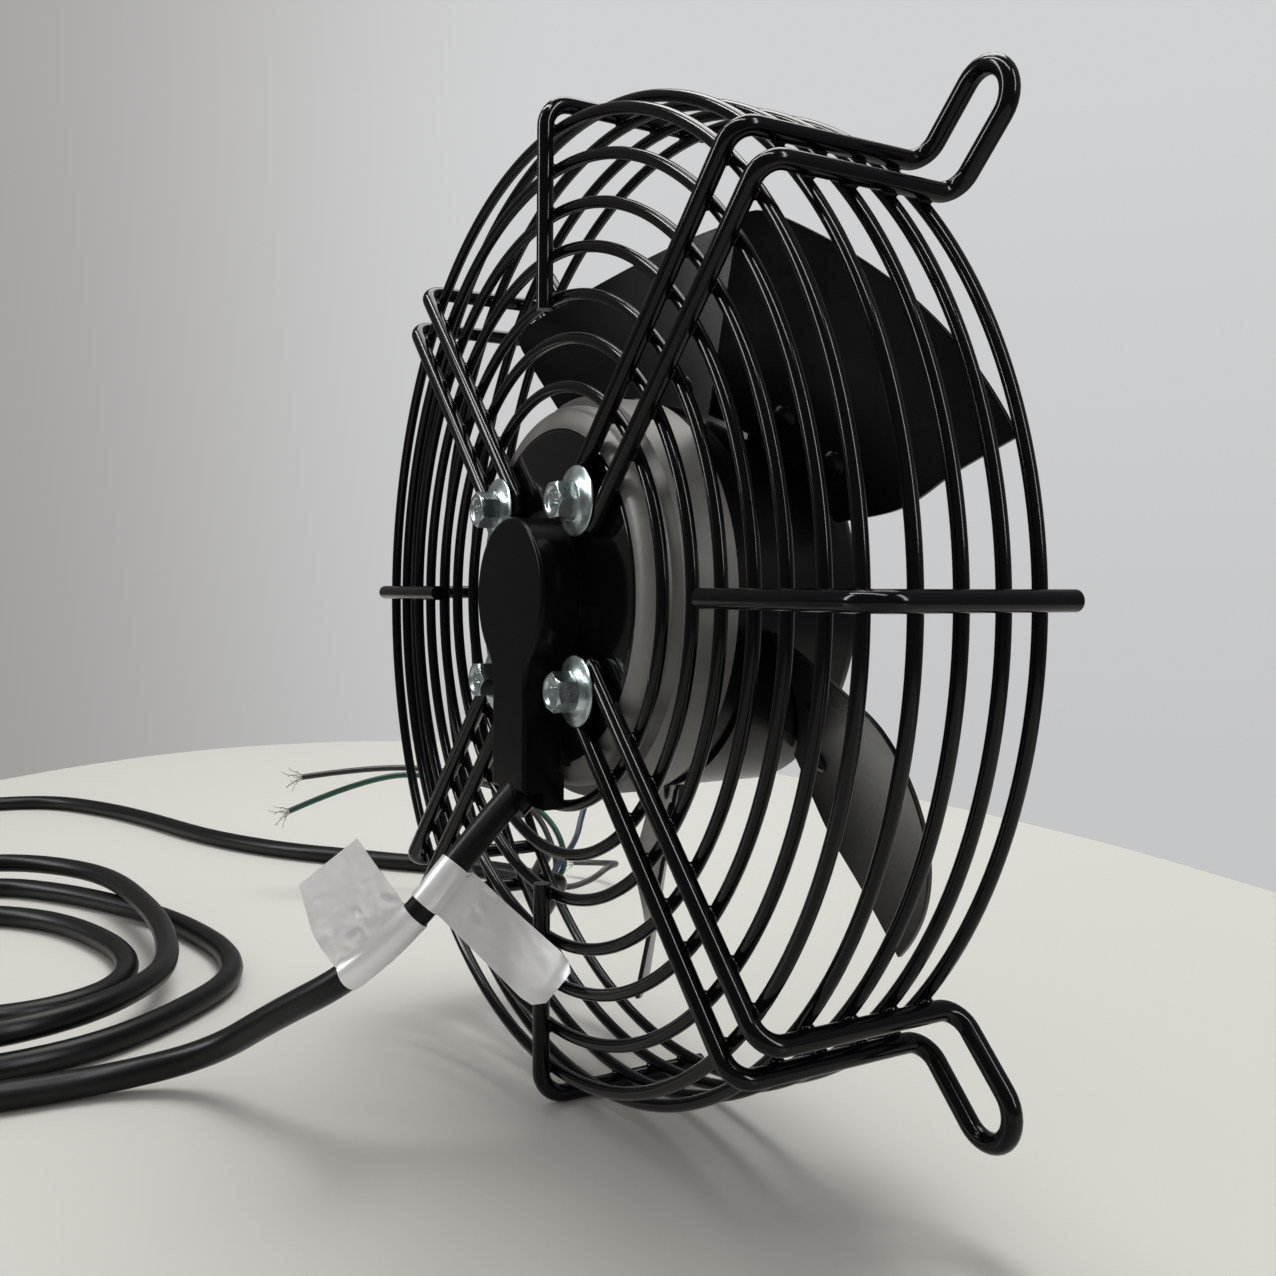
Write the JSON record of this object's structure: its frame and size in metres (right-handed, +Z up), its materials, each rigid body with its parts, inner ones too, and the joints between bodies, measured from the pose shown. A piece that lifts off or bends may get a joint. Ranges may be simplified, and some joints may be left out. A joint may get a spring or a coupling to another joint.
{
  "type": "axial fan",
  "caption": "Axial fan with external rotor motor, curved sheet blades, welded wire guard with looped mounting ears, and a loose supply cable with bare leads.",
  "frame": {"origin": "on the surface under the fan, below the fan axis and midway between the front of the terminal cover and the back of the rotor", "axes": "+Z up; +Y along the fan axis, from the terminal cover and guard face towards the rotor's back and the mounting ears; +X to the right seen from the terminal cover"},
  "size_m": [0.6266, 0.3858, 0.2441],
  "materials": {
    "black_wire": "gloss black powder coat",
    "zinc": "bright bluish zinc",
    "black_plate": "smooth gloss black",
    "black_cover": "satin moulded",
    "steel": "plain",
    "bright_steel": "ground",
    "white_plastic": "moulded",
    "grey_cast": "satin grey cast",
    "copper": "enamelled wire",
    "black_sheet": "semi-matt black",
    "cable_sheath": "smooth, slightly shiny",
    "brown_core": "smooth insulation",
    "green_core": "smooth insulation",
    "blue_core": "smooth insulation",
    "grey_core": "smooth insulation",
    "foil": "soft crumpled foil"
  },
  "bodies": {
    "frame_and_stator": {"guard_face_ring_1": "black_wire", "guard_face_ring_2": "black_wire", "guard_face_ring_3": "black_wire", "guard_face_ring_4": "black_wire", "guard_face_ring_5": "black_wire", "guard_face_ring_6": "black_wire", "guard_face_ring_7": "black_wire", "guard_wall_ring_1": "black_wire", "guard_wall_ring_2": "black_wire", "guard_wall_ring_3": "black_wire", "guard_wall_ring_4": "black_wire", "guard_spoke_1": "black_wire", "guard_spoke_2": "black_wire", "guard_spoke_3": "black_wire", "guard_spoke_4": "black_wire", "guard_ear_spoke_1": "black_wire", "guard_ear_spoke_2": "black_wire", "guard_ear_spoke_3": "black_wire", "guard_ear_spoke_4": "black_wire", "guard_bolts": "zinc", "motor_end_plate": "black_plate", "terminal_cover": "black_cover", "cable_lock_ring": "steel", "lead_splices": "white_plastic", "stator_housing": "grey_cast", "stator_core": "steel", "stator_insulators": "white_plastic", "stator_windings": "copper", "front_bearing_outer_ring": "bright_steel", "rear_bearing_outer_ring": "bright_steel", "bearing_spacer": "steel", "preload_washer": "steel", "cable_near_run": "cable_sheath", "cable_coil": "cable_sheath", "cable_far_run": "cable_sheath", "lead_brown": "brown_core", "lead_green": "green_core", "lead_blue": "blue_core", "lead_grey": "grey_core", "foil_flag_long": "foil", "foil_flag_folded": "foil"},
    "impeller": {"shaft": "bright_steel", "shaft_circlip": "steel", "front_bearing_inner_ring": "bright_steel", "rear_bearing_inner_ring": "bright_steel", "rotor_can": "black_sheet", "rotor_core": "steel", "rotor_end_rings": "grey_cast", "blade_carrier": "black_sheet", "blade_1": "black_sheet", "blade_2": "black_sheet", "blade_3": "black_sheet", "blade_4": "black_sheet", "blade_5": "black_sheet", "blade_rivets": "steel"},
    "front_ball_set": {"front_bearing_cage": "bright_steel", "front_bearing_balls": "bright_steel"},
    "rear_ball_set": {"rear_bearing_cage": "bright_steel", "rear_bearing_balls": "bright_steel"}
  },
  "joints": [
    {"name": "impeller_spin", "type": "hinge", "parent": "frame_and_stator", "child": "impeller", "pos_m": [0, 0, 0.12205], "axis": [0, 1, 0], "continuous": true},
    {"name": "front_balls_roll", "type": "hinge", "parent": "frame_and_stator", "child": "front_ball_set", "pos_m": [0, -0.0085, 0.12205], "axis": [0, 1, 0], "continuous": true},
    {"name": "rear_balls_roll", "type": "hinge", "parent": "frame_and_stator", "child": "rear_ball_set", "pos_m": [0, 0.0235, 0.12205], "axis": [0, 1, 0], "continuous": true}
  ],
  "couplings": [
    {"joint": "front_balls_roll", "follows": "impeller_spin", "ratio": 0.3677},
    {"joint": "rear_balls_roll", "follows": "impeller_spin", "ratio": 0.3677}
  ]
}
